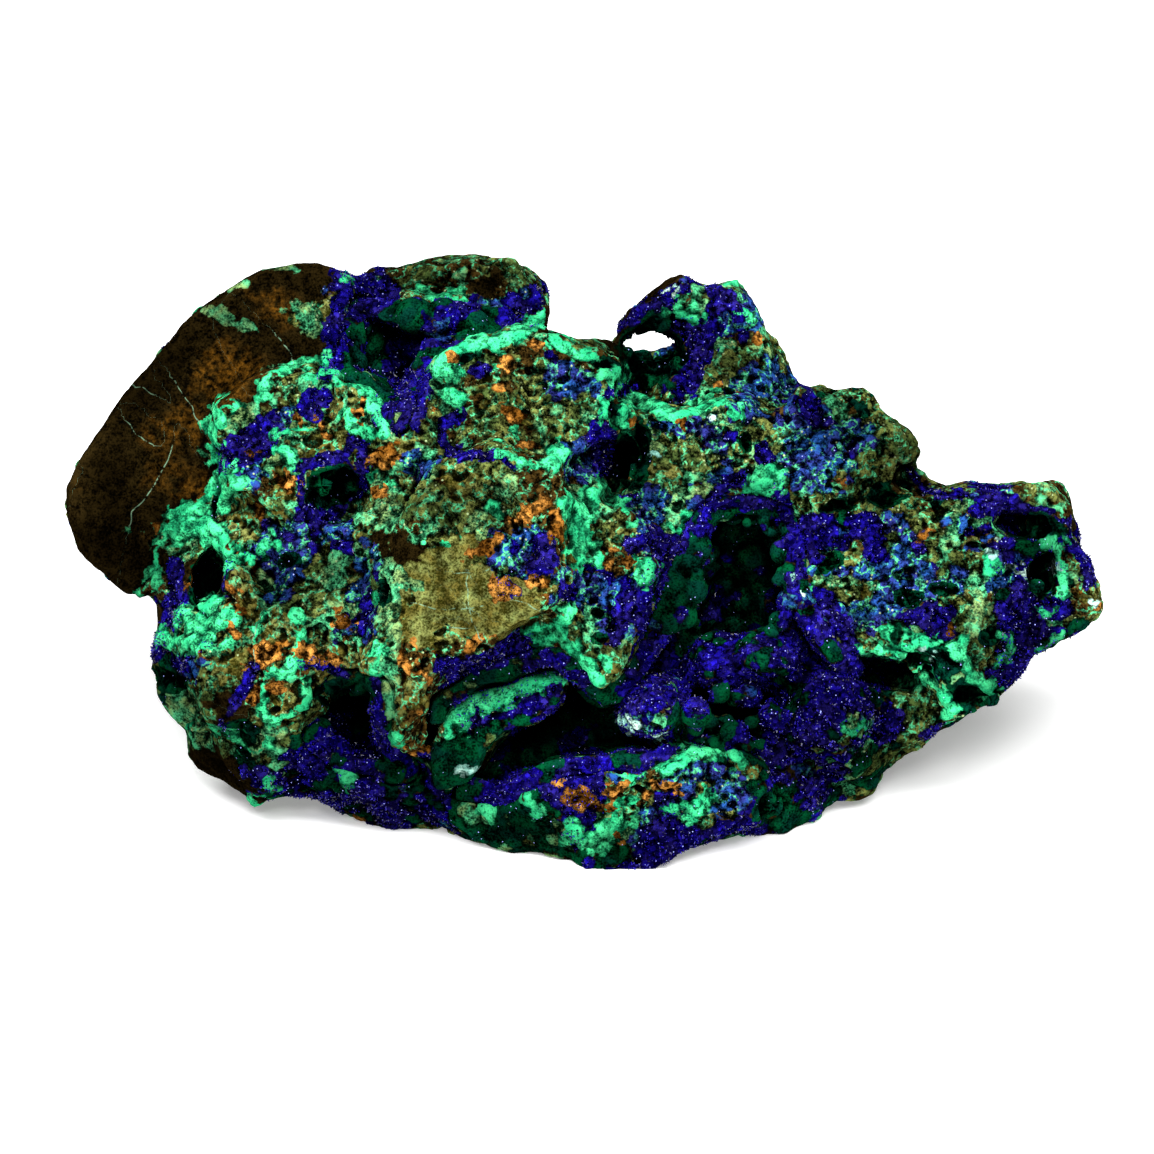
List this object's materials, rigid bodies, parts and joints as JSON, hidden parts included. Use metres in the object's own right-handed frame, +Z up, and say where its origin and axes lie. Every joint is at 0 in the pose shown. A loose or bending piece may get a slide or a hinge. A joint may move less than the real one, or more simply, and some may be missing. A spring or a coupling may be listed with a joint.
{
  "type": "azurite and malachite mineral specimen",
  "caption": "Rough display specimen of azurite and malachite on brown limonite, with crystal-lined hollows and a slab at one end, resting on its flat-cut underside.",
  "frame": {"origin": "on the table, under the middle of the specimen's bounding box", "axes": "+Z up, +X to the viewer's right along the long side with the slab at -X, -Y towards the viewer who sees the hollows"},
  "size_m": [0.1494, 0.0748, 0.0701],
  "materials": {
    "limonite_matrix": "rough, earthy to crystalline",
    "malachite_azurite_crust": "smooth green swellings with fine sparkling blue crystals"
  },
  "bodies": {
    "root": {"matrix": "limonite_matrix", "main_vug_crust": "malachite_azurite_crust", "top_vug_crust": "malachite_azurite_crust", "lower_vug_crust": "malachite_azurite_crust"}
  },
  "joints": []
}
